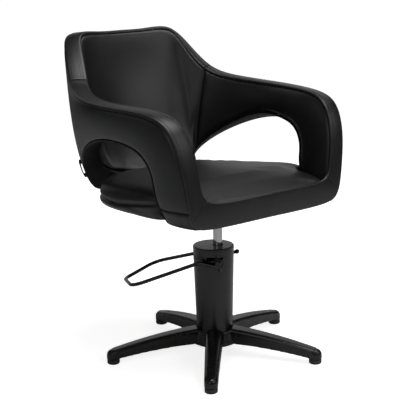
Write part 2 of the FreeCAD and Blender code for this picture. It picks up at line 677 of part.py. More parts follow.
outer_rim = [outward_step(*step) for step in zip(rim, outward, outer_run, outer_drop)]
outer_low = [outward_step(*step) for step in zip(inner_low, foot_heading, foot_run, foot_drop)]


def towards(a, b, reach):
    return a + (b - a).normalize() * reach


def column(rim_pole, low_pole, degrees, crown, station, skin):
    """Poles from the rim to the lower edge, in the order of the row names below."""
    band = towards(rim_pole, low_pole, s.band_t)
    pad = towards(rim_pole, low_pole, s.band_t + s.soft_gap)
    pad_end = towards(low_pole, rim_pole, s.lining_t + s.soft_gap)
    lining = towards(low_pole, rim_pole, s.lining_t)
    swell = outward_step(Vec(), degrees, crown / s.shell_t, 0)
    high = pad + (pad_end - pad) / 3 + swell
    low = pad + (pad_end - pad) * 2 / 3 + swell
    if station < len(back_swell):
        high = high + back_swell[station][skin][0] * s.back_rise
        low = low + back_swell[station][skin][1] * s.back_rise
    return [rim_pole, band, pad, high, low, pad_end, lining, low_pole]


# The back is upright above and turns under the sitter below, so its crown poles lie further back.
# One row per station: upper and lower pole of the inner skin, then of the outer one.
back_swell = [((Vec(0, 0.1, -0.07), Vec(0, 0.21, -0.24)), (Vec(0, 0.1, 0), Vec(0, 0.184, -0.24))),
              ((Vec(0, 0.085, -0.07), Vec(0, 0.19, -0.24)), (Vec(0, 0.09, 0), Vec(0, 0.168, -0.24))),
              ((Vec(0.01, 0.01, -0.05), Vec(0, 0.153, -0.21)), (Vec(0, 0.037, 0), Vec(0, 0.11, -0.224))),
              ((Vec(0, 0, 0), Vec(0, 0.058, -0.063)), (Vec(0.018, 0.01, 0), Vec(0.024, 0.063, -0.01)))]
stations = range(len(rim))
inner_net = [column(rim[i], inner_low[i], outward[i], -s.pad_crown, i, 0) for i in stations]
outer_net = [column(outer_rim[i], outer_low[i], outward[i], s.pad_crown, i, 1) for i in stations]


RIM, BAND, PAD, HIGH, LOW, PAD_END, LINING, EDGE = range(8)
BAND_ROWS = (RIM, BAND)
BACK_ROWS = (PAD, HIGH, LOW, EDGE)
ARM_ROWS = (PAD, HIGH, LOW, PAD_END)
LINING_ROWS = (LINING, EDGE)


def mirrored(net):
    left = [[Vec(-p.x, p.y, p.z) for p in col] for col in reversed(net[1:])]
    return left + net


def layer(share, rows):
    """Pole rows of the wall at a share of its thickness, inner skin 0, outer skin 1."""
    half = [[ci[r] + (co[r] - ci[r]) * share for r in rows] for ci, co in zip(inner_net, outer_net)]
    return mirrored(half)


def patch(net, start, end):
    """Surface through a pole net: cubic along it from start to end, one Bezier span across."""
    along = len(net)
    across = len(net[0])
    surface = Part.BSplineSurface()
    surface.buildFromPolesMultsKnots(net, [4] + [1] * (along - 4) + [4], [across, across],
                                     list(range(along - 2)), [0, 1], False, False, 3, across - 1)
    surface.segment(start, end, 0, 1)
    return surface


def block_between(net1, net2, start, end):
    """Closed solid between two pole nets of the same size."""
    near = patch(net1, start, end)
    far = patch(net2, start, end)
    faces = [near.toShape(), far.toShape()]
    for a, b in ((near.vIso(0), far.vIso(0)), (near.vIso(1), far.vIso(1)),
                 (near.uIso(start), far.uIso(start)), (near.uIso(end), far.uIso(end))):
        faces.append(Part.makeRuledSurface(a.toShape(), b.toShape()))
    shell = Part.makeShell(faces)
    shell.sewShape()
    block = Part.makeSolid(shell)
    if block.Volume < 0:
        block.reverse()
    return block


def wall_block(share1, share2, rows, start, end):
    return block_between(layer(share1, rows), layer(share2, rows), start, end)


def mirror_object(obj, name):
    twin = doc.addObject("Part::Mirroring", "Mirror")
    twin.Source = obj
    twin.Normal = Vec(1, 0, 0)
    twin.Label = name
    nodes.append(twin)


def arm_pair(block, stem):
    mirror_object(node(solid_object(block), stem + "_left", SEAT), stem + "_right")


# parameters along the rim: the front of the right arm is 0, the back's middle half way, and the
# waist, where arm and back covers meet, four stations from the middle
rim_end = 2 * len(rim) - 4
rim_middle = rim_end / 2
waist_left = rim_middle + 4
waist_right = rim_middle - 4
slit = s.soft_gap / s.waist_half_w
hair = s.soft_gap / s.shell_t
core_end = 0.5 + s.core_t / s.shell_t
back_span = (waist_right + slit, waist_left - slit)
arm_span = (waist_left + slit, rim_end)
pad_layer = (0, 0.5 - hair)
core_layer = (0.5, core_end)
cover_layer = (core_end + hair, 1)

node(solid_object(wall_block(0, 1, BAND_ROWS, *back_span)), "band_back", SEAT)
arm_pair(wall_block(0, 1, BAND_ROWS, *arm_span), "band_arm")
for layer_name, shares in (("pad", pad_layer), ("core", core_layer), ("cover", cover_layer)):
    node(solid_object(wall_block(*shares, BACK_ROWS, *back_span)), "back_" + layer_name, SEAT)
    arm_pair(wall_block(*shares, ARM_ROWS, *arm_span), "arm_" + layer_name)
arm_pair(wall_block(0, 1, LINING_ROWS, *arm_span), "window_lining")

# front band between the arms' feet, under the cushion's front edge and bowed forward
band_half_w = s.front_half_w - s.soft_gap


def band_net(depth):
    net = []
    for share in (0, 0.36, 0.7, 0.9, 1):
        y = s.pan_front_y - s.front_band_t - s.soft_gap + s.front_band_bow * share ** 2 + depth
        low = s.front_band_drop * (1 - 0.06 * share ** 2)
        net.append([wall_point(share * band_half_w, y, s.front_band_rise),
                    wall_point(share * band_half_w, y, -low)])
    return mirrored(net)


front_net = band_net(0)
band_block = block_between(front_net, band_net(s.front_band_t), 0, len(front_net) - 3)
node(solid_object(band_block), "band_front", SEAT)

# strap loop on the lower back's right rear, its two feet on the cover
cover_skin = patch(layer(1, BACK_ROWS), *back_span)
strap_u = waist_right + s.strap_along
foot_high = cover_skin.value(strap_u, s.strap_high)
foot_low = cover_skin.value(strap_u, s.strap_low)
middle_v = (s.strap_high + s.strap_low) / 2
out = cover_skin.normal(strap_u, middle_v)
if out.y < 0:
    out = out * -1
strap_points = [foot_high + out * s.soft_gap, foot_high + out * s.strap_proud,
                foot_low + out * s.strap_proud, foot_low + out * s.soft_gap]
strap_path = bent_wire(strap_points, s.strap_proud / 2)
across = out.cross(foot_low - foot_high).normalize() * (s.strap_w / 2)
thick = across.cross(out).normalize() * (s.strap_t / 2)
corner_signs = ((-1, -1), (1, -1), (1, 1), (-1, 1), (-1, -1))
strap_ring = Part.makePolygon([strap_points[0] + across * a + thick * b for a, b in corner_signs])
node(solid_object(strap_path.makePipeShell([strap_ring], True, False)), "rear_loop", SEAT)

# every object must be sound before it is written
doc.recompute()
for obj in doc.Objects:
    if "Invalid" in obj.State or "Error" in obj.State:
        raise RuntimeError(obj.Label + " is " + ", ".join(obj.State))
os.makedirs("parts", exist_ok=True)
for obj in nodes:
    if obj.Shape.isNull() or not obj.Shape.isValid() or obj.Shape.Volume <= 0:
        raise RuntimeError(obj.Label + " has no sound shape")
    obj.Shape.exportStep("parts/" + obj.Label + ".step")
    box_ = obj.Shape.BoundBox
    print("%-22s solids %d  volume %.0f  x %.1f..%.1f  y %.1f..%.1f  z %.1f..%.1f" % (
        obj.Label, len(obj.Shape.Solids), obj.Shape.Volume, box_.XMin, box_.XMax, box_.YMin, box_.YMax,
        box_.ZMin, box_.ZMax))
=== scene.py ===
# %% [markdown]
# A hairdressing chair, dressed for a picture
#
# The chair is a tub of black leatherette on a hydraulic column. Its measured solids come in as a fixed
# frame, in metres, with the floor at Z 0 and the sitter facing -Y. Hard pieces such as the pump and the
# ram keep their solids and get a finish. Everything that is sewn is modelled again here, because cloth
# over foam has seams, crowns and puckers that plain solids lack.

# %% Load the frame
import json
import math
import bmesh
import bpy
from mathutils import Matrix, Vector, noise


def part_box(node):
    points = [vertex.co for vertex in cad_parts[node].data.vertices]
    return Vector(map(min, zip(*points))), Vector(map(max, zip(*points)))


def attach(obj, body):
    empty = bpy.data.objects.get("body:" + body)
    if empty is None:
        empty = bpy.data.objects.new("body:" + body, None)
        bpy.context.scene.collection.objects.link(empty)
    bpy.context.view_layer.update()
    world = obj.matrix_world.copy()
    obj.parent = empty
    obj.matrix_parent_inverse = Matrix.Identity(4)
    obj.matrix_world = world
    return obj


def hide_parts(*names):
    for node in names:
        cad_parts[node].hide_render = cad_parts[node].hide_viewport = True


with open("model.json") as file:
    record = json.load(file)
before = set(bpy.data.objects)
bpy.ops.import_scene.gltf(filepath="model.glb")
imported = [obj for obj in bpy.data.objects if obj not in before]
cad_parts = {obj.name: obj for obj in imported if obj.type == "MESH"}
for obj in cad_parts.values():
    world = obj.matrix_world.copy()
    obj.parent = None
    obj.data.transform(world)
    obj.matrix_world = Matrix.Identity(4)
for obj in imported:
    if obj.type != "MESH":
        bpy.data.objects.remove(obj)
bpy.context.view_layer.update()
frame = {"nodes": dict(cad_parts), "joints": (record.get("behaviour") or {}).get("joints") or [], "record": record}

scene = bpy.context.scene
MM = 0.001
joints = {joint["name"]: joint for joint in frame["joints"]}

# %% [markdown]
# The camera comes first, so that every later choice can be judged in the right view. Its place and lens
# were found by fitting the five glides and the tub's edges to the photograph. A long lens from about
# three metres keeps the perspective calm. The turn is written as three plain angles, which are easier
# to adjust one at a time than a matrix.

# %% Camera
CAMERA_PLACE = Vector((-1.764, -2.208, 1.060))
CAMERA_HEADING = math.radians(39.42)
CAMERA_PITCH = math.radians(13.49)
CAMERA_ROLL = math.radians(-1.04)
LENS_MM = 93.0
SENSOR_MM = 36.0

camera = bpy.data.objects.new("camera", bpy.data.cameras.new("camera"))
camera.data.sensor_width = SENSOR_MM
camera.data.lens = LENS_MM
turn = Matrix.Rotation(-CAMERA_HEADING, 4, "Z")
tilt = Matrix.Rotation(math.pi / 2 - CAMERA_PITCH, 4, "X")
lean = Matrix.Rotation(CAMERA_ROLL, 4, "Z")
camera.matrix_world = Matrix.Translation(CAMERA_PLACE) @ turn @ tilt @ lean
scene.collection.objects.link(camera)
scene.camera = camera
scene.view_settings.view_transform = "Standard"
print("camera stands", round(CAMERA_PLACE.length, 2), "m from the middle of the footprint")

# %% [markdown]
# Behind the chair the picture is plain white. A bright world would also light the chair from all sides
# and turn black leatherette grey. The Light Path node parts the two: the camera sees white, and every
# other ray meets a dim world. The floor will use the same split, so it is a helper.


# %% White backdrop
def empty_tree(owner):
    """Node tree of a material or a world, cleared."""
    owner.use_nodes = True
    owner.node_tree.nodes.clear()
    return owner.node_tree


def add_node(tree, kind, **values):
    """A shader node with its plain sockets set by name."""
    node = tree.nodes.new(kind)
    for name, value in values.items():
        node.inputs.get(name.replace("_", " ")).default_value = value
    return node


def show_to_camera(tree, seen, unseen, output_kind):
    """End a tree so that the camera sees one shader and all other rays meet another."""
    mix = tree.nodes.new("ShaderNodeMixShader")
    path = tree.nodes.new("ShaderNodeLightPath")
    output = tree.nodes.new(output_kind)
    tree.links.new(path.outputs["Is Camera Ray"], mix.inputs[0])
    tree.links.new(unseen.outputs[0], mix.inputs[1])
    tree.links.new(seen.outputs[0], mix.inputs[2])
    tree.links.new(mix.outputs[0], output.inputs[0])


WHITE = (1, 1, 1, 1)
WORLD_LIGHT = 0.05
scene.world = bpy.data.worlds.new("studio")
tree = empty_tree(scene.world)
white = add_node(tree, "ShaderNodeBackground", Color=WHITE, Strength=1.0)
dim = add_node(tree, "ShaderNodeBackground", Color=WHITE, Strength=WORLD_LIGHT)
show_to_camera(tree, white, dim, "ShaderNodeOutputWorld")
print("world nodes:", len(tree.nodes))

# %% [markdown]
# A black object is drawn by what it reflects, so the lamps are large and their places decide where the
# leatherette shines. The strongest stands in front of the chair, a wide one glows behind it, and one
# overhead, with a narrowed beam, lights the seat and the tops of the arms. Two weaker lamps at the left
# of the picture draw the outside of the near arm and the back.


# %% Lamps
def area_lamp(name, place, aim, size, watts, spread=180):
    """Rectangular lamp at a place, turned to an aim; spread is the beam's angle in degrees."""
    data = bpy.data.lights.new(name, "AREA")
    data.spread = math.radians(spread)
    data.shape = "RECTANGLE"
    data.size, data.size_y = size
    data.energy = watts
    lamp = bpy.data.objects.new(name, data)
    way = Vector(aim) - Vector(place)
    lamp.matrix_world = Matrix.Translation(place) @ way.to_track_quat("-Z", "Y").to_matrix().to_4x4()
    scene.collection.objects.link(lamp)


CHAIR_MIDDLE = (0.0, 0.0, 0.45)
area_lamp("backdrop_glow", place=(1.5, 2.3, 1.5), aim=(0, 0, 0.6), size=(4.0, 2.4), watts=15)
area_lamp("overhead", place=(0.4, -0.4, 2.7), aim=CHAIR_MIDDLE, size=(1.8, 1.8), watts=13, spread=90)
area_lamp("left_front", place=(-2.5, -1.5, 1.6), aim=(0, 0.2, 0.7), size=(1.2, 1.2), watts=9)
area_lamp("left_back", place=(-2.6, 1.6, 1.5), aim=CHAIR_MIDDLE, size=(1.2, 1.6), watts=3)
area_lamp("front", place=(0.9, -2.5, 2.0), aim=(0, 0.3, 0.75), size=(3.0, 1.1), watts=20)

# %% [markdown]
# The floor is one large face with a pale diffuse paint, which catches a soft shadow. To fade into the
# white backdrop without a horizon, it also glows for the camera, fully far away and a little less near
# the chair, so that the shadow stays visible at the glides.

# %% Floor
FLOOR_SIZE = 30.0
FLOOR_GREY = 0.82
NEAR_GLOW = 0.8
FAR_GLOW = 1.0
GLOW_NEAR_M = 0.3
GLOW_FAR_M = 2.0

floor_face = bmesh.new()
bmesh.ops.create_grid(floor_face, x_segments=1, y_segments=1, size=FLOOR_SIZE)
floor_mesh = bpy.data.meshes.new("floor")
floor_face.to_mesh(floor_mesh)
floor_face.free()
floor = bpy.data.objects.new("floor", floor_mesh)
scene.collection.objects.link(floor)

floor_paint = bpy.data.materials.new("floor_paint")
tree = empty_tree(floor_paint)
diffuse = add_node(tree, "ShaderNodeBsdfDiffuse", Color=(FLOOR_GREY, FLOOR_GREY, FLOOR_GREY, 1))
glow = add_node(tree, "ShaderNodeEmission", Color=WHITE)
where = tree.nodes.new("ShaderNodeTexCoord")
far = tree.nodes.new("ShaderNodeVectorMath")
far.operation = "LENGTH"
grow = add_node(tree, "ShaderNodeMapRange", From_Min=GLOW_NEAR_M, From_Max=GLOW_FAR_M,
                To_Min=NEAR_GLOW, To_Max=FAR_GLOW)
lit = tree.nodes.new("ShaderNodeAddShader")
tree.links.new(where.outputs["Object"], far.inputs[0])
tree.links.new(far.outputs["Value"], grow.inputs["Value"])
tree.links.new(grow.outputs[0], glow.inputs["Strength"])
tree.links.new(diffuse.outputs[0], lit.inputs[0])
tree.links.new(glow.outputs[0], lit.inputs[1])
show_to_camera(tree, lit, diffuse, "ShaderNodeOutputMaterial")
floor_mesh.materials.append(floor_paint)
print("floor is", 2 * FLOOR_SIZE, "m wide")

# %% [markdown]
# Leatherette, satin enamel and even chrome share one effect: a fine surface relief with a slow change of
# tone. It could be drawn anew in each material. Here it is built once as a node group with named inputs,
# and each finish places it with its own scale. The group gives only values, and the Principled shader
# stays in the material, so that the finish can be baked.

# %% Shared relief
FINE_SHARE = 0.4


def relief_group():
    """Node group: small cells and soft clouds on object coordinates."""
    group = bpy.data.node_groups.new("surface_relief", "ShaderNodeTree")
    group.interface.new_socket("Vector", in_out="INPUT", socket_type="NodeSocketVector")
    for way, names in (("INPUT", ("Grain Scale", "Cloud Scale")), ("OUTPUT", ("Height", "Cloud"))):
        for name in names:
            group.interface.new_socket(name, in_out=way, socket_type="NodeSocketFloat")
    enter = group.nodes.new("NodeGroupInput")
    leave = group.nodes.new("NodeGroupOutput")
    cells = group.nodes.new("ShaderNodeTexVoronoi")
    cells.feature = "DISTANCE_TO_EDGE"
    fine = add_node(group, "ShaderNodeTexNoise", Detail=3.0)
    clouds = add_node(group, "ShaderNodeTexNoise", Detail=2.0)
    total = group.nodes.new("ShaderNodeMath")
    total.operation = "MULTIPLY_ADD"
    total.inputs[1].default_value = FINE_SHARE
    for texture, scale in ((cells, "Grain Scale"), (fine, "Grain Scale"), (clouds, "Cloud Scale")):
        group.links.new(enter.outputs["Vector"], texture.inputs["Vector"])
        group.links.new(enter.outputs[scale], texture.inputs["Scale"])
    group.links.new(fine.outputs[0], total.inputs[0])
    group.links.new(cells.outputs["Distance"], total.inputs[2])
    group.links.new(total.outputs[0], leave.inputs["Height"])
    group.links.new(clouds.outputs[0], leave.inputs["Cloud"])
    return group


RELIEF = relief_group()
print("relief group has", len(RELIEF.nodes), "nodes")

# %% [markdown]
# A finish is a Principled shader with the relief in front of it. The clouds choose between a dark and a
# pale tone and between two roughnesses, so that large faces don't look like plastic. The grain only
# bumps the surface. Depths are in metres and scales count cells to the metre.

# %% Finish with relief
CLOUD_DARK = 0.3
CLOUD_PALE = 0.7


def finish(name, dark, pale, rough, grain, cloud, bump, depth, **principled):
    """A finish with relief: base colour from dark to pale, roughness from rough[0] to rough[1]."""
    material = bpy.data.materials.new(name)
    tree = empty_tree(material)
    where = tree.nodes.new("ShaderNodeTexCoord")
    relief = tree.nodes.new("ShaderNodeGroup")
    relief.node_tree = RELIEF
    relief.inputs["Grain Scale"].default_value = grain
    relief.inputs["Cloud Scale"].default_value = cloud
    ramp = tree.nodes.new("ShaderNodeValToRGB")
    for element, position, tone in zip(ramp.color_ramp.elements, (CLOUD_DARK, CLOUD_PALE), (dark, pale)):
        element.position = position
        element.color = (*tone, 1)
    gloss = add_node(tree, "ShaderNodeMapRange", To_Min=rough[0], To_Max=rough[1])
    height = add_node(tree, "ShaderNodeBump", Strength=bump, Distance=depth)
    shader = add_node(tree, "ShaderNodeBsdfPrincipled", **principled)
    output = tree.nodes.new("ShaderNodeOutputMaterial")
    tree.links.new(where.outputs["Object"], relief.inputs["Vector"])
    tree.links.new(relief.outputs["Cloud"], ramp.inputs[0])
    tree.links.new(relief.outputs["Cloud"], gloss.inputs["Value"])
    tree.links.new(relief.outputs["Height"], height.inputs["Height"])
    tree.links.new(ramp.outputs[0], shader.inputs["Base Color"])
    tree.links.new(gloss.outputs[0], shader.inputs["Roughness"])
    tree.links.new(height.outputs[0], shader.inputs["Normal"])
    tree.links.new(shader.outputs[0], output.inputs[0])
    return material


def grey(value):
    return (value, value, value)


# %% [markdown]
# The cover is black leatherette with a soft sheen and a very fine grain. The edges round the windows sit in
# deep shade, so they get a duller sister of it, with a darker colour that is painted shade. The thread and the
# strap's webbing are rougher and a touch paler than the cover, or they would vanish on it.

# %% Covers and thread
leatherette = finish("leatherette", (0.0045, 0.0045, 0.0055), (0.007, 0.007, 0.0082), (0.36, 0.46),
                     grain=620, cloud=9, bump=0.35, depth=0.0004, Specular_IOR_Level=0.5)
# Its darker base colour is painted shade for the deep shadow inside the windows.
painted_shade_leatherette = finish("painted_shade_leatherette", (0.002, 0.002, 0.0025), (0.003, 0.003, 0.0035), (0.6, 0.7),
                          grain=620, cloud=9, bump=0.35, depth=0.0004, Specular_IOR_Level=0.2)
thread = finish("thread", grey(0.012), grey(0.02), (0.6, 0.75), grain=2500, cloud=60, bump=0.4, depth=0.0003)
webbing = finish("webbing", grey(0.012), grey(0.025), (0.7, 0.85), grain=1600, cloud=80, bump=0.6,
                 depth=0.0004)
print("soft finishes:", [soft.name for soft in (leatherette, painted_shade_leatherette, thread, webbing)])

# %% [markdown]
# The base, pump and pedal are painted with a satin black enamel, smoother than the cover, and stand on
# plastic glides. The ram is polished chrome. What is hidden in the pump and under the seat also gets its
# own stuff, plain steel, bronze, rubber and plywood, because a picture of the opened chair may show it.

# %% Enamel, metals and hidden stuff
enamel = finish("satin_enamel", grey(0.003), grey(0.005), (0.22, 0.32), grain=900, cloud=14, bump=0.12,
                depth=0.0003, Specular_IOR_Level=0.5)
glide_plastic = finish("glide_plastic", grey(0.02), grey(0.03), (0.5, 0.6), grain=1400, cloud=30, bump=0.3,
                       depth=0.0002)
chrome = finish("ram_chrome", (0.5, 0.5, 0.51), grey(0.56), (0.08, 0.14), grain=700, cloud=40, bump=0.02,
                depth=0.0001, Metallic=1.0)
steel = finish("zinc_steel", (0.42, 0.42, 0.43), grey(0.55), (0.3, 0.42), grain=900, cloud=50, bump=0.1,
               depth=0.0002, Metallic=1.0)
bronze = finish("bush_bronze", (0.4, 0.27, 0.12), (0.5, 0.35, 0.18), (0.35, 0.45), grain=900, cloud=50,
                bump=0.1, depth=0.0002, Metallic=1.0)
rubber = finish("seal_rubber", grey(0.015), grey(0.022), (0.6, 0.7), grain=900, cloud=40, bump=0.2,
                depth=0.0002)
plywood = finish("plywood", (0.38, 0.25, 0.13), (0.5, 0.36, 0.2), (0.5, 0.65), grain=300, cloud=25,
                 bump=0.2, depth=0.0004)
hard_finishes = (enamel, glide_plastic, chrome, steel, bronze, rubber, plywood)
print("hard finishes:", [hard.name for hard in hard_finishes])

# %% Finish every solid
SLOT_FINISHES = {
    "black_enamel": enamel, "black_steel": enamel, "glide_plastic": glide_plastic, "steel": steel,
    "chrome": chrome, "seal_rubber": rubber, "bronze": bronze, "plywood": plywood,
    "black_leatherette": leatherette, "webbing": webbing,
}
for part in frame["record"]["subparts"]:
    mesh = frame["nodes"][part["node"]].data
    mesh.materials.clear()
    mesh.materials.append(SLOT_FINISHES[part["material_slot"]])
print("finishes:", len(bpy.data.materials))

# %% [markdown]
# The tub wall is drawn between four long lines: the inner and outer rim, and the inner and outer lower
# edge. Each line has a control point at every station: the middle of the back is station 0, the waist
# where the arm starts is station 4, the top of the arm's front is station 8 and the foot of the arm is
# station 11. The inner points are in millimetres, with the ram's axis as origin and heights over the
# cushion's underside. The outer lines follow from them by a heading, a run and a drop, in shares of the
# shell's thickness.

# %% Lines of the tub
WAIST = 4
FOOT = 11
SWIVEL = Vector(joints["seat_swivel"]["pos_m"])
PAN_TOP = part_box("seat_cushion")[0].z
SHELL_T = 46


def wall_point(x, y, rise):
    return Vector((x * MM, y * MM + SWIVEL.y, rise * MM + PAN_TOP))


def outward(point, degrees, run, drop=0):
    """Point moved outwards on a heading and down, in shares of the shell's thickness."""
    a = math.radians(degrees)
    return point + Vector((run * math.cos(a), run * math.sin(a), -drop)) * SHELL_T * MM


INNER_RIM = [(0, 402, 380), (76, 398, 378), (160, 386, 388), (173, 345, 333), (198, 288, 257),
             (238, 212, 239), (272, 95, 231), (254, -40, 231), (238, -158, 221), (227, -194, 134),
             (216, -200, 55), (212, -200, -5), (212, -198, -48)]
RIM_OUT = [(90, 1, 0.22), (85, 1, 0.17), (65, 1.02, 0.04), (40, 1.1, -0.07), (26, 1.05, 0), (19, 1.06, 0),
           (2, 1.1, 0.04), (-6, 1.06, 0.09), (0, 1, 0.13), (0, 1, 0.09), (-4, 0.95, 0.07), (-4, 0.85, 0),
           (-4, 0.35, 0)]
INNER_LOW = [(0, 252, 4), (75, 250, 4), (128, 247, 5), (144, 260, 13), (162, 304, 30), (206, 238, 95),
             (246, 120, 157), (244, 20, 150), (237, -50, 131), (229, -76, 78), (225, -68, 39),
             (222, -88, -5), (216, -91, -48)]
LOW_OUT = [(90, 1.87, 1.0), (88, 1.85, 1.0), (84, 1.77, 1.1), (70, 1.6, 1.2), (53, 1.1, 0.3),
           (22, 1, 0.16), (2, 1, 0.4), (-6, 1, 0.2), (-8, 1, 0.17), (-12, 1, 0.11), (-14, 1, 0.04),
           (-5, 0.95, 0), (0, 0.45, 0)]
inner_rim = [wall_point(*p) for p in INNER_RIM]
inner_low = [wall_point(*p) for p in INNER_LOW]
outer_rim = [outward(p, *out) for p, out in zip(inner_rim, RIM_OUT)]
outer_low = [outward(p, *out) for p, out in zip(inner_low, LOW_OUT)]
print("control points of a half rim:", len(inner_rim))

# %% [markdown]
# A polyline through the control points would show corners, so each line becomes a NURBS curve, the same
# kind of curve that a boat builder's batten draws. Blender evaluates it to many small steps, and a rail
# then answers with a point for any station, whole or broken.

# %% Rails
RAIL_STEPS = 40
RAIL_ORDER = 4


def nurbs_points(points):
    """Points along a NURBS curve, as Blender evaluates it."""
    data = bpy.data.curves.new("rail", "CURVE")
    data.dimensions = "3D"
    data.resolution_u = RAIL_STEPS
    spline = data.splines.new("NURBS")
    spline.points.add(len(points) - 1)
    for target, p in zip(spline.points, points):
        target.co = (*p, 1)
    spline.order_u = RAIL_ORDER
    spline.use_endpoint_u = True
    holder = bpy.data.objects.new("rail", data)
    mesh = bpy.data.meshes.new_from_object(holder)
    found = [v.co.copy() for v in mesh.vertices]
    bpy.data.objects.remove(holder)
    bpy.data.curves.remove(data)
    bpy.data.meshes.remove(mesh)
    return found


def mirror_x(p):
    return Vector((-p.x, p.y, p.z))


class Rail:
    """A smooth line over both halves of the chair, from the control points of one half. Stations count
    from the first point and are negative on the sitter's right."""

    def __init__(self, half):
        full = [mirror_x(p) for p in reversed(half[1:])] + half
        self.points = nurbs_points(full)
        self.reach = len(half) - 2

    def at(self, station):
        share = (station + self.reach) / (2 * self.reach) * (len(self.points) - 1)
        i = min(max(int(share), 0), len(self.points) - 2)
        return self.points[i].lerp(self.points[i + 1], share - i)


rim_inner = Rail(inner_rim)
rim_outer = Rail(outer_rim)
low_inner = Rail(inner_low)
low_outer = Rail(outer_low)
print("rim rail:", len(rim_inner.points), "points, waist at", rim_inner.at(WAIST))

# %% [markdown]
# Each skin of the tub is a set of ribs from the rim to the lower edge, and two crown rails bend it
# between them. The foam makes a crown of a few millimetres, and the back swells much more, because it
# leans back at the shoulders and comes forward at the sitter's loins. One cubic curve from rim to edge
# gives that bend with two values for each rib.

# %% Skins
BAND_DEPTH = 6
PAD_CROWN = 9


class Skin:
    """One skin of the tub: ribs from a rim to a lower edge, bent by two crown rails between them."""

    def __init__(self, rim, low, crown):
        ribs = [self.rib(*points) for points in zip(rim, low, crown)]
        self.rails = [Rail([rib[row] for rib in ribs]) for row in range(4)]

    @staticmethod
    def rib(rim, low, crown):
        first = rim + (low - rim).normalized() * BAND_DEPTH * MM
        last = low + (rim - low).normalized() * BAND_DEPTH * MM
        return [first, first.lerp(last, 1 / 3) + crown[0], first.lerp(last, 2 / 3) + crown[1], last]

    def at(self, station, share):
        p = [rail.at(station) for rail in self.rails]
        q = 1 - share
        return p[0] * q**3 + p[1] * (3 * q * q * share) + p[2] * (3 * q * share * share) + p[3] * share**3


# %% Crowns of the two skins
BACK_RISE = 380
INNER_SWELL = [((0, 0.1, -0.07), (0, 0.21, -0.24)), ((0, 0.085, -0.07), (0, 0.19, -0.24)),
               ((0.01, 0.03, -0.05), (0, 0.14, -0.19)), ((0, 0.01, 0), (0, 0.06, -0.07))]
OUTER_SWELL = [((0, 0.1, 0), (0, 0.184, -0.24)), ((0, 0.09, 0), (0, 0.168, -0.24)),
               ((0, 0.037, 0), (0, 0.11, -0.224)), ((0.018, 0.01, 0), (0.024, 0.063, -0.01))]
NO_SWELL = ((0, 0, 0), (0, 0, 0))


def crowns(swells, side):
    """Upper and lower crown at each station, away from the wall's middle. The back adds its own swell,
    in shares of its rise."""
    found = []
    for i, (degrees, _, _) in enumerate(RIM_OUT):
        puff = outward(Vector(), degrees, side * PAD_CROWN / SHELL_T)
        swell_here = swells[i] if i < len(swells) else NO_SWELL
        found.append([puff + Vector(share) * BACK_RISE * MM for share in swell_here])
    return found


inner_skin = Skin(inner_rim, inner_low, crowns(INNER_SWELL, -1))
outer_skin = Skin(outer_rim, outer_low, crowns(OUTER_SWELL, 1))
print("loins at", inner_skin.at(0, 0.7), "shoulders at", inner_skin.at(0, 0.1))

# %% [markdown]
# Every sewn piece starts as a flat grid whose two directions run along and across the piece. The grid is
# draped: each point asks a function for its place on the chair, so the grid's lines follow the sewing.
# A grid has two sides, so the helper also checks at the middle that the faces look away from the wall.


# %% Pieces and drapes
def add_piece(name, bm, material, body):
    """Turn a bmesh into a piece that rides on a body; thread has no slot of its own in the record."""
    mesh = bpy.data.meshes.new(name)
    bm.to_mesh(mesh)
    bm.free()
    mesh.materials.append(material)
    mesh.shade_smooth()
    piece = bpy.data.objects.new(name, mesh)
    scene.collection.objects.link(piece)
    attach(piece, body)
    print(name, len(mesh.polygons), "faces")
    return piece


def soft_piece(name, bm, nodes, cover=leatherette):
    """A padded piece of the tub or the seat, in place of some solids."""
    piece = add_piece(name, bm, cover, "seat")
    if nodes:
        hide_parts(*nodes)


def drape(place, behind, grid, lift=None):
    """Grid of faces, along and across, laid by place(a, c), looking away from the points behind(a, c).
    Then lift(point, a, c) moves each point along its normal."""
    bm = bmesh.new()
    bmesh.ops.create_grid(bm, x_segments=grid[0], y_segments=grid[1], size=0.5,
                          matrix=Matrix.Translation((0.5, 0.5, 0)))
    shares = {v: (v.co.x, v.co.y) for v in bm.verts}
    for v, (a, c) in shares.items():
        v.co = place(a, c)
    bm.normal_update()
    middle = min(bm.verts, key=lambda v: abs(shares[v][0] - 0.5) + abs(shares[v][1] - 0.5))
    if middle.normal.dot(middle.co - behind(*shares[middle])) < 0:
        bmesh.ops.reverse_faces(bm, faces=bm.faces[:])
        bm.normal_update()
    if lift:
        for v, (a, c) in shares.items():
            v.co += v.normal * lift(v.co, a, c)
    return bm


def between(start, end):
    """Function that runs from start to end as its share goes from 0 to 1."""
    return lambda a: start + a * (end - start)


def path_length(point_at, steps):
    """Length of the line that point_at(share) draws."""
    points = [point_at(i / steps) for i in range(steps + 1)]
    return sum((q - p).length for p, q in zip(points, points[1:]))


# %% [markdown]
# Near its border a sewn cover is pulled in by the seam, and away from it the foam pushes it out, which is
# one smooth curve of the distance from the seam. Short folds run out of the seams and die away. A cloth
# simulation could make them too, but these covers are pulled tight over a stiff shell and hardly swell,
# so the curve and a little noise do it with full control of the outline.

# %% Sewn panels
COVER_T = 5 * MM
PANEL_STEPS = 20
FOLD_SCALE = 70
FINE_FOLD_SCALE = 160
FINE_FOLD_SHARE = 0.5
FOLD_REACH = 12 * MM
INSIDE = {"pull": 2.5 * MM, "reach": 7 * MM, "lift": 2 * MM, "folds": 0.5 * MM}
OUTSIDE = {"pull": 2.5 * MM, "reach": 4 * MM, "lift": 2 * MM, "folds": 0.3 * MM}
NECK = {"pull": 1 * MM, "reach": 6 * MM, "lift": 1 * MM, "folds": 3 * MM}


def pucker(p, d, size):
    """Small folds that run out from a seam and die away."""
    wave = noise.noise(p * FOLD_SCALE) + FINE_FOLD_SHARE * noise.noise(p * FINE_FOLD_SCALE)
    return size * wave * math.exp(-d / FOLD_REACH)


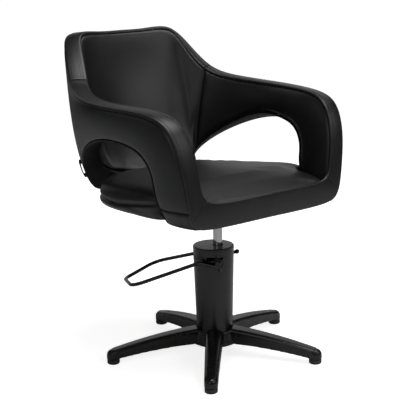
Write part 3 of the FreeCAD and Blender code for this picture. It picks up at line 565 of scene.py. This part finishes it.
def sewn_panel(name, place, behind, grid, nodes, pull, reach, lift, folds):
    """Padded panel: pulled in by the seam at its border, lifted by the foam elsewhere."""
    length = path_length(lambda a: place(a, 0.5), PANEL_STEPS)

    def rise(point, a, c):
        depth = (place(a, 0) - place(a, 1)).length
        d = min(c * depth, (1 - c) * depth, a * length, (1 - a) * length)
        return lift - (pull + lift) * math.exp(-d / reach) + pucker(point, d, folds)

    bm = drape(place, behind, grid, rise)
    bmesh.ops.solidify(bm, geom=bm.faces[:], thickness=COVER_T)
    soft_piece(name, bm, nodes)


# %% [markdown]
# The inside of the tub has three panels, the back and the two arms, sewn together at the waist. A cover
# stretched over a hollow back doesn't follow every hollow: it bridges them. So the back's points are
# averaged along the wall, less and less towards the seams and the rim.

# %% Inside panels
STRETCH = 2.0
STRETCH_STEPS = 4


def ease(t):
    """Smooth step from 0 to 1."""
    t = min(max(t, 0), 1)
    return t * t * (3 - 2 * t)


def stretched(station, share):
    """Point of the inner skin, averaged along the wall."""
    fade = ease((WAIST - abs(station)) / STRETCH) * ease(share * 2)
    around = [inner_skin.at(station + STRETCH * fade * step / STRETCH_STEPS, share)
              for step in range(-STRETCH_STEPS, STRETCH_STEPS + 1)]
    return sum(around, Vector()) / len(around)


def inside_panel(name, node, start, end, along):
    span = between(start, end)
    sewn_panel(name, lambda a, c: stretched(span(a), c), lambda a, c: outer_skin.at(span(a), c),
               (along, 60), [node], **INSIDE)


inside_panel("back_inside", "back_pad", -WAIST, WAIST, along=160)
inside_panel("arm_left_inside", "arm_pad_left", WAIST, FOOT, along=150)
inside_panel("arm_right_inside", "arm_pad_right", -WAIST, -FOOT, along=150)

# %% [markdown]
# The outside is one long panel from foot to foot. Low on each foot it ends at a crease, and a small panel
# goes on below. Over the neck, under the back, the long panel ends in a lip.

# %% Outside panels
LIP_SHARE = 0.72
LIP_START = 2.2
LIP_END = 4.9
CREASE = 10.66
SIDES = (("left", 1), ("right", -1))


def lip(station):
    """Share of the outer skin, from the rim down, where the outside panel ends."""
    return LIP_SHARE + (1 - LIP_SHARE) * ease((abs(station) - LIP_START) / (LIP_END - LIP_START))


def foot_under(side, sign):
    span = between(sign * CREASE, sign * FOOT)
    sewn_panel("foot_under_" + side, lambda a, c: outer_skin.at(span(a), c),
               lambda a, c: inner_skin.at(span(a), c), (30, 30), [], **OUTSIDE)


whole = between(-CREASE, CREASE)
sewn_panel("outside", lambda a, c: outer_skin.at(whole(a), c * lip(whole(a))),
           lambda a, c: inner_skin.at(whole(a), c), (420, 50),
           ["back_cover", "arm_cover_left", "arm_cover_right"], **OUTSIDE)
for side, sign in SIDES:
    foot_under(side, sign)

# %% [markdown]
# The neck joins the back to the seat between the two windows. Its cover is pulled round a tight bend and
# wrinkles there, so it is a piece of its own with much deeper folds. Its top edge is tucked under the lip.

# %% Neck
NECK_END = 4.5
NECK_TUCK = 0.03
neck_span = between(-NECK_END, NECK_END)


def neck_place(a, c):
    top = lip(neck_span(a)) - NECK_TUCK
    return outer_skin.at(neck_span(a), top + (1 - top) * c)


sewn_panel("neck", neck_place, lambda a, c: inner_skin.at(neck_span(a), c), (200, 30), [], **NECK)

# %% [markdown]
# A short loop of webbing hangs on the neck at the sitter's right. It is a strip bent round a squared
# half ellipse, with both ends sewn to the cover. A root of the sine and the cosine squares the bend.

# %% Loop
LOOP_STATION = -3.5
LOOP_SHARES = (0.84, 0.98)
LOOP_PROUD = 9 * MM
LOOP_W = 16 * MM
LOOP_T = 2.5 * MM
LOOP_SQUARE = 0.5
LOOP_NEXT = 0.1

loop_top, loop_foot = [outer_skin.at(LOOP_STATION, share) for share in LOOP_SHARES]
loop_middle = (loop_top + loop_foot) / 2
loop_down = (loop_foot - loop_top) / 2
beside = [outer_skin.at(LOOP_STATION + step, LOOP_SHARES[0]) for step in (LOOP_NEXT, -LOOP_NEXT)]
loop_along = (beside[0] - beside[1]).normalized()
loop_out = loop_along.cross(loop_down).normalized()
if loop_out.y < 0:
    loop_out.negate()


def loop_place(a, c):
    down = math.copysign(abs(math.cos(math.pi * a)) ** LOOP_SQUARE, a - 0.5)
    proud = math.sin(math.pi * a) ** LOOP_SQUARE
    bend = loop_middle + loop_down * down + loop_out * LOOP_PROUD * proud
    return bend + loop_along * LOOP_W * (c - 0.5)


loop = drape(loop_place, lambda a, c: loop_middle, (24, 6))
bmesh.ops.solidify(loop, geom=loop.faces[:], thickness=LOOP_T)
loop_piece = add_piece("loop", loop, webbing, "seat")
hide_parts("rear_loop")

# %% [markdown]
# The rim is covered by one long band that runs over the back, along the arms, down their fronts and
# across the seat's front edge. Its section is a strip with two tight rounded corners and a slight crown.
# At both edges it turns down to meet the panels. A bevelled curve would twist at the corners, so the
# section is carried along two rails instead, which fix its width and its tilt everywhere.

# %% Band section
BAND_T = 2.5 * MM
BAND_STEPS = 40
BAND_CORNER = 4 * MM
BAND_TURN = 7 * MM
BAND_CROWN = 1.6 * MM
BAND_LIFT = 1.5 * MM
WALL_SHARE = 0.15
CORNER_SHARE = 0.35
STATION_STEP = 0.02
SEAM_DIP = 1.2 * MM
SEAM_REACH = 2 * MM


def band_section(width, share):
    """Half section of a band: distance in from its edge, and height, for a share up to one half."""
    if share < WALL_SHARE:
        return 0.0, BAND_LIFT - BAND_CORNER - (BAND_TURN - BAND_CORNER) * (1 - share / WALL_SHARE)
    if share < CORNER_SHARE:
        a = (share - WALL_SHARE) / (CORNER_SHARE - WALL_SHARE) * math.pi / 2
        return BAND_CORNER * (1 - math.cos(a)), BAND_LIFT - BAND_CORNER * (1 - math.sin(a))
    t = (share - CORNER_SHARE) / (0.5 - CORNER_SHARE)
    inset = BAND_CORNER + (width / 2 - BAND_CORNER) * t
    return inset, BAND_LIFT + BAND_CROWN * (1 - (1 - t) ** 2)


class Band:
    """A band carried along an inner and an outer rail. The side is 1 or -1 and turns its face outwards."""

    def __init__(self, inner, outer, side):
        self.inner = inner
        self.outer = outer
        self.side = side

    def frame(self, station):
        """Both edges at a station and the way the band faces."""
        low = max(station - STATION_STEP, -self.inner.reach)
        high = min(station + STATION_STEP, self.inner.reach)
        a = self.inner.at(station)
        b = self.outer.at(station)
        along = (self.inner.at(high) + self.outer.at(high)) - (self.inner.at(low) + self.outer.at(low))
        return a, b, along.cross(b - a).normalized() * self.side

    def point(self, station, share, dip):
        a, b, face = self.frame(station)
        across = b - a
        width = across.length
        inset, height = band_section(width, min(share, 1 - share))
        if share > 0.5:
            inset = width - inset
        return a + across * (inset / width) + face * (height - dip)


def band_piece(name, band, station_at, grid, nodes, cover=leatherette):
    """A length of a band; its ends dip into the seams."""
    length = path_length(lambda a: band.inner.at(station_at(a)), BAND_STEPS)

    def place(a, c):
        dip = SEAM_DIP * math.exp(-min(a, 1 - a) * length / SEAM_REACH)
        return band.point(station_at(a), c, dip)

    def behind(a, c):
        p, q, face = band.frame(station_at(a))
        return p.lerp(q, c) - face

    bm = drape(place, behind, grid)
    bmesh.ops.solidify(bm, geom=bm.faces[:], thickness=BAND_T)
    soft_piece(name, bm, nodes, cover)


# %% [markdown]
# The band is cut from four lengths, sewn together at the waists and, on a slant, at the foot of the arms.
# Its two rails leave the tub's rim at the arm's front and turn the corner to the middle of the seat's
# front edge, so one pair of rails serves all four lengths.

# %% Rim bands
CORNER_INNER = [(210, -202, 28), (192, -206, 14), (160, -210, 9), (100, -213, 9), (0, -216, 11)]
CORNER_OUTER = [(252, -204, -8), (244, -200, -40), (214, -198, -56), (110, -203, -55), (0, -206, -53)]
ARM_POINTS = 11
MITRE = 11.5
rim_band = Band(Rail(inner_rim[:ARM_POINTS] + [wall_point(*p) for p in CORNER_INNER]),
                Rail(outer_rim[:ARM_POINTS] + [wall_point(*p) for p in CORNER_OUTER]), 1)


def front_station(a):
    """Stations of the front length: from the right mitre to the middle, where both ends of the rails
    meet, and on to the left mitre."""
    reach = rim_band.inner.reach
    if a < 0.5:
        return -MITRE - (reach - MITRE) * 2 * a
    return reach - (reach - MITRE) * (2 * a - 1)


band_piece("rim_back", rim_band, between(-WAIST, WAIST), (240, 24), ["band_back"])
band_piece("rim_arm_left", rim_band, between(WAIST, MITRE), (260, 24), ["band_arm_left"])
band_piece("rim_arm_right", rim_band, between(-WAIST, -MITRE), (260, 24), ["band_arm_right"])
band_piece("rim_front", rim_band, front_station, (240, 24), ["band_front"])

# %% [markdown]
# Beside the seat, the arm's foot goes on below the band's corner. A short length of the same section
# closes its front, and a flat cap closes its end. The lower edge of the wall, round both windows and under the
# neck, gets a long band of its own in the darker, duller cover, whose colour paints the shade inside the windows.

# %% Arm feet and window edges
FOOT_FRONT = 10.3
CAP_DROP = Vector((0, 0, 1 * MM))
UP = Vector((0, 0, 1))
foot_band = Band(rim_inner, rim_outer, 1)


def arm_foot(side, sign):
    """Front and end cap of an arm's foot."""
    def cap_place(a, c):
        return inner_skin.at(sign * FOOT, c).lerp(outer_skin.at(sign * FOOT, c), a) - CAP_DROP

    band_piece("foot_front_" + side, foot_band, between(sign * FOOT_FRONT, sign * FOOT), (40, 24), [])
    cap = drape(cap_place, lambda a, c: cap_place(a, c) + UP, (8, 24))
    bmesh.ops.solidify(cap, geom=cap.faces[:], thickness=COVER_T)
    soft_piece("foot_end_" + side, cap, [])


for side, sign in SIDES:
    arm_foot(side, sign)
# The window edges take the cover with painted shade in its colour.
band_piece("lower_edge", Band(low_inner, low_outer, -1), between(-FOOT, FOOT), (520, 20),
           ["window_lining_left", "window_lining_right"], painted_shade_leatherette)

# %% [markdown]
# Topstitching holds the band flat. Each stitch is a short thread lying in a row beside the band's edge,
# so one small ball, stretched and flattened, is placed again and again along the rails, turned to the
# row's direction. A texture could draw the rows, but real stitches catch the light one by one.

# %% Topstitching
STITCH_PITCH = 7 * MM
STITCH_HALF = (3.0 * MM, 1.1 * MM, 0.6 * MM)
STITCH_LOOK = 0.2
ROW_STEPS = 200
ROW_INSET = 0.2
BACK_ROW_INSET = 0.32
BACK_ROW_END = 0.98 * WAIST


def stitch_row(bm, station_at, share):
    """A row of stitches along the rim band at a share of its width."""
    def spot(a):
        p, q, face = rim_band.frame(station_at(a))
        crown = BAND_CROWN * (1 - (1 - 2 * min(share, 1 - share)) ** 2)
        return p.lerp(q, share) + face * (BAND_LIFT + crown), face

    count = int(path_length(lambda a: spot(a)[0], ROW_STEPS) / STITCH_PITCH)
    look = STITCH_LOOK / count
    for i in range(count):
        a = (i + 0.5) / count
        place, face = spot(a)
        along = (spot(a + look)[0] - spot(a - look)[0]).normalized()
        turn = Matrix((along, face.cross(along), face)).transposed().to_4x4()
        size = Matrix.Diagonal((*STITCH_HALF, 1))
        bmesh.ops.create_uvsphere(bm, u_segments=6, v_segments=4, radius=1,
                                  matrix=Matrix.Translation(place) @ turn @ size)
    return count


stitches = bmesh.new()
made = 0
for span in (between(-WAIST, WAIST), between(WAIST, MITRE), between(-WAIST, -MITRE)):
    made += stitch_row(stitches, span, ROW_INSET)
    made += stitch_row(stitches, span, 1 - ROW_INSET)
made += stitch_row(stitches, between(-BACK_ROW_END, BACK_ROW_END), BACK_ROW_INSET)
add_piece("topstitching", stitches, thread, "seat")
print("stitches:", made)

# %% [markdown]
# The seat is a foam slab and a board wrapped in one cover, so it reads as a bolster: a flat top, a fat
# roll round the sides, a deep seam that falls towards the back, and a flatter panel under it. Four
# simple functions say how high these levels lie from the front to the back, in millimetres.

# %% Levels of the seat
SEAT_CREST = -50
CREST_RISE = 28
BACK_SLOPE = 0.09
LEAST_RISE = 8
FRONT_FALL = 23
FRONT_RUN = 154
LOW_RISE = -51
LOW_SLOPE = 0.057
SEAM_START = -73
SEAM_RISE = -2
SEAM_SLOPE = 0.168
SEAM_LEAST = -33
UNDER_RISE = -66


def seat_top(y):
    """Rise of the seat's top, which falls slowly towards the back and faster over the front edge."""
    if y > SEAT_CREST:
        return max(LEAST_RISE, CREST_RISE - BACK_SLOPE * (y - SEAT_CREST))
    return CREST_RISE - FRONT_FALL * ((SEAT_CREST - y) / FRONT_RUN) ** 2


def seat_low(y):
    """Rise of the rounded edge between the seat's side and its underside."""
    return LOW_RISE - LOW_SLOPE * y


def seat_seam(y):
    """Rise of the deep seam round the side, which falls from the arm's foot towards the back."""
    return max(SEAM_LEAST, SEAM_RISE - SEAM_SLOPE * max(y - SEAM_START, 0))


def underside(y):
    """Rise of the underside, which is stapled to a flat board and so is level at any y."""
    return UNDER_RISE


print("seat falls", seat_top(SEAT_CREST) - seat_top(SEAT_CREST + 200), "mm in the 200 mm behind its crest")


# %% [markdown]
# Seen from above, the seat is narrow between the arms' feet and wide behind them. One closed line with
# that outline is drawn for each level, and the levels are then joined like the hoops of a barrel. The
# side roll is a quarter of an ellipse from the top to just above the seam.

# %% Lines of the seat
SEAT_MIDDLE = 30
SEAT_NARROW = 213
SEAT_WIDE = 264
SEAT_FRONT = -204
SEAT_SLIT = -80
SEAT_REAR = 326
FRONT_INSET = 0.25
ROLL_W = 26
ROLL_FOOT = 3
UNDER_INSET = 36


def seat_line(inset, shrink, rise):
    """Closed line round the seat. The inset works fully at the open sides, and little where the seat is
    hemmed in by the arms and the front band."""
    narrow = SEAT_NARROW - FRONT_INSET * inset
    wide = SEAT_WIDE - inset
    front = SEAT_FRONT + FRONT_INSET * inset
    slit = SEAT_SLIT + FRONT_INSET * inset
    rear = SEAT_REAR - inset
    half = [(0, front), (0.42 * narrow, front + 2), (0.97 * narrow, front + 4), (narrow, front + 20),
            (narrow, slit - 20), (narrow + 3, slit - 1), (wide - 14, slit - 1), (wide, slit + 3),
            (wide, slit + 50), (0.97 * wide, 55), (0.92 * wide, rear - 125), (0.7 * wide, rear - 40),
            (0.4 * wide, rear - 3), (0, rear)]
    placed = [(x * shrink, SEAT_MIDDLE + (y - SEAT_MIDDLE) * shrink) for x, y in half]
    return Rail([wall_point(x, y, rise(y)) for x, y in placed])


def side_roll(turn):
    """Line of the roll between the seat's top and its seam, at an angle of a quarter ellipse."""
    a = math.radians(turn)

    def rise(y):
        return seat_seam(y) + ROLL_FOOT + (seat_top(y) - seat_seam(y) - ROLL_FOOT) * math.cos(a)

    return seat_line(ROLL_W * (1 - math.sin(a)), 1, rise)


def raised(level, extra):
    return lambda y: level(y) + extra


seat_lines = [seat_line(ROLL_W, 0.05, raised(seat_top, 3)), seat_line(ROLL_W, 0.4, raised(seat_top, 3)),
              seat_line(ROLL_W, 0.75, raised(seat_top, 2))]
seat_lines += [side_roll(turn) for turn in (0, 22, 45, 67, 90)]
seat_lines += [seat_line(5, 1, raised(seat_low, 12)), seat_line(15, 1, raised(seat_low, 4)),
               seat_line(UNDER_INSET, 1, seat_low), seat_line(UNDER_INSET, 0.6, underside),
               seat_line(UNDER_INSET, 0.05, underside)]
SEAT_ROWS = len(seat_lines) - 1
print("lines of the seat:", len(seat_lines))

# %% [markdown]
# A loft has long thin faces, and cloth needs even ones. So the closed seat is remeshed with small voxels,
# which gives little squares of one size all over, and is then smoothed a little to take off the steps.

# %% Even seat mesh
MERGE = 0.01 * MM
SEAT_VOXEL = 6 * MM
SEAT_LOFT_ALONG = 240
SEAT_HEART = wall_point(0, SEAT_MIDDLE, -20)


def even_mesh(bm, voxel):
    """The same closed shape in even little faces."""
    mesh = bpy.data.meshes.new("copy")
    bm.to_mesh(mesh)
    bm.free()
    holder = bpy.data.objects.new("copy", mesh)
    scene.collection.objects.link(holder)
    remesh = holder.modifiers.new("even", "REMESH")
    remesh.mode = "VOXEL"
    remesh.voxel_size = voxel
    even = bmesh.new()
    even.from_object(holder, bpy.context.evaluated_depsgraph_get())
    bpy.data.objects.remove(holder)
    bpy.data.meshes.remove(mesh)
    return even


def smooth(bm, rounds):
    for _ in range(rounds):
        bmesh.ops.smooth_vert(bm, verts=bm.verts[:], factor=0.5, use_axis_x=True, use_axis_y=True,
                              use_axis_z=True)


def seat_place(a, c):
    """Point of the loft: a runs round the seat, c from the middle of the top to that of the underside."""
    row = min(int(c * SEAT_ROWS), SEAT_ROWS - 1)
    station = (2 * a - 1) * seat_lines[0].reach
    return seat_lines[row].at(station).lerp(seat_lines[row + 1].at(station), c * SEAT_ROWS - row)


seat = drape(seat_place, lambda a, c: SEAT_HEART, (SEAT_LOFT_ALONG, 2 * SEAT_ROWS))
bmesh.ops.remove_doubles(seat, verts=seat.verts[:], dist=MERGE)
bmesh.ops.holes_fill(seat, edges=[e for e in seat.edges if e.is_boundary])
bmesh.ops.recalc_face_normals(seat, faces=seat.faces[:])
seat = even_mesh(seat, SEAT_VOXEL)
smooth(seat, 2)
print("even seat:", len(seat.faces), "faces")

# %% [markdown]
# A short cloth simulation with air pressure swells the seat as foam does. The underside is pinned,
# because it is stapled to the board, and no point may travel further than a few millimetres, so the seat
# keeps its size.

# %% Swell
SWELL_FRAMES = 20
SEAT_PRESSURE = 4.0
SEAT_SWELL = 4 * MM
HELD_BELOW = PAN_TOP - 40 * MM


def swell(bm, pinned, pressure, most):
    """Blow a closed mesh up as cloth; pinned(co) tells which points are held, most is the largest move."""
    mesh = bpy.data.meshes.new("swell")
    bm.to_mesh(mesh)
    bm.free()
    holder = bpy.data.objects.new("swell", mesh)
    scene.collection.objects.link(holder)
    held = holder.vertex_groups.new(name="held")
    held.add([v.index for v in mesh.vertices if pinned(v.co)], 1.0, "REPLACE")
    cloth = holder.modifiers.new("cloth", "CLOTH")
    cloth.settings.vertex_group_mass = "held"
    cloth.settings.effector_weights.gravity = 0
    cloth.settings.tension_stiffness = 20
    cloth.settings.compression_stiffness = 20
    cloth.settings.bending_stiffness = 2
    cloth.settings.use_pressure = True
    cloth.settings.uniform_pressure_force = pressure
    cloth.point_cache.frame_start = 1
    cloth.point_cache.frame_end = SWELL_FRAMES
    before = [v.co.copy() for v in mesh.vertices]
    for number in range(1, SWELL_FRAMES + 1):
        scene.frame_set(number)
    full = bmesh.new()
    full.from_object(holder, bpy.context.evaluated_depsgraph_get())
    full.verts.ensure_lookup_table()
    for v, start in zip(full.verts, before):
        move = v.co - start
        if move.length > most:
            v.co = start + move * (most / move.length)
    scene.frame_set(1)
    bpy.data.objects.remove(holder)
    bpy.data.meshes.remove(mesh)
    return full


seat = swell(seat, lambda co: co.z < HELD_BELOW, SEAT_PRESSURE, SEAT_SWELL)
smooth(seat, 3)
bmesh.ops.subdivide_edges(seat, edges=seat.edges[:], cuts=1, use_grid_fill=True, smooth=1.0)
seat.normal_update()
print("swollen seat:", len(seat.faces), "faces")

# %% [markdown]
# The seam is pinched in last, because the remesh would have closed a groove so narrow. Each point near
# the seam's level is pushed in along its level normal, by a bell curve of its distance from the seam.

# %% Seat seam
SEAM_DEPTH = 6 * MM
SEAM_WIDTH = 4 * MM
for v in seat.verts:
    seam = PAN_TOP + seat_seam((v.co.y - SWIVEL.y) / MM) * MM
    off = (v.co.z - seam) / SEAM_WIDTH
    v.co -= Vector((v.normal.x, v.normal.y, 0)) * SEAM_DEPTH * math.exp(-off * off)
soft_piece("seat", seat, ["seat_cushion", "seat_pan"])

# %% [markdown]
# The star base is a casting. A casting has no sharp corner where the legs run into the hub, so a copy of
# the solid is merged, remeshed finely and relaxed, which rounds every corner a little, as the sand mould
# does. A bevel would have to find its way through the many short edges at the hub.

# %% Star base
STAR_VOXEL = 2.6 * MM
star = bmesh.new()
star.from_mesh(frame["nodes"]["star_base"].data)
bmesh.ops.remove_doubles(star, verts=star.verts[:], dist=MERGE)
star = even_mesh(star, STAR_VOXEL)
smooth(star, 5)
star_piece = add_piece("star_casting", star, enamel, "base")
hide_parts("star_base")
